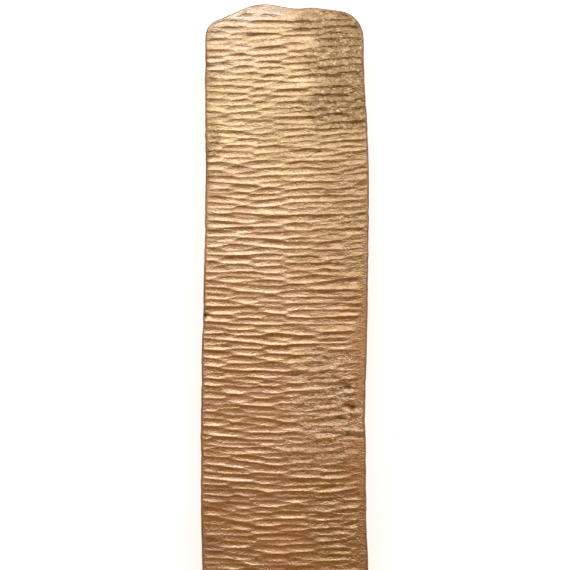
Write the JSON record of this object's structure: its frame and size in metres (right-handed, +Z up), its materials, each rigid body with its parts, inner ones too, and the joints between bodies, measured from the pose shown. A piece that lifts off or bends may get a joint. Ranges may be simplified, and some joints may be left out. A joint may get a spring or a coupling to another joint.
{
  "type": "brass ingot",
  "caption": "Long flat cast brass bar with a finely rippled top face, tapered sides, one uneven rounded end and a flat base; stock to be remelted, cut or displayed.",
  "frame": {"origin": "middle of the base, on the plane that the bar rests on", "axes": "+Y along the bar towards its uneven rounded head end, +X across it, to the right when seen from above with the head end away from the viewer, +Z up out of the rippled casting face"},
  "size_m": [0.071, 0.35, 0.02],
  "materials": {
    "cast_brass": "as cast, rippled, lightly tarnished"
  },
  "bodies": {
    "root": {"ingot": "cast_brass"}
  },
  "joints": []
}
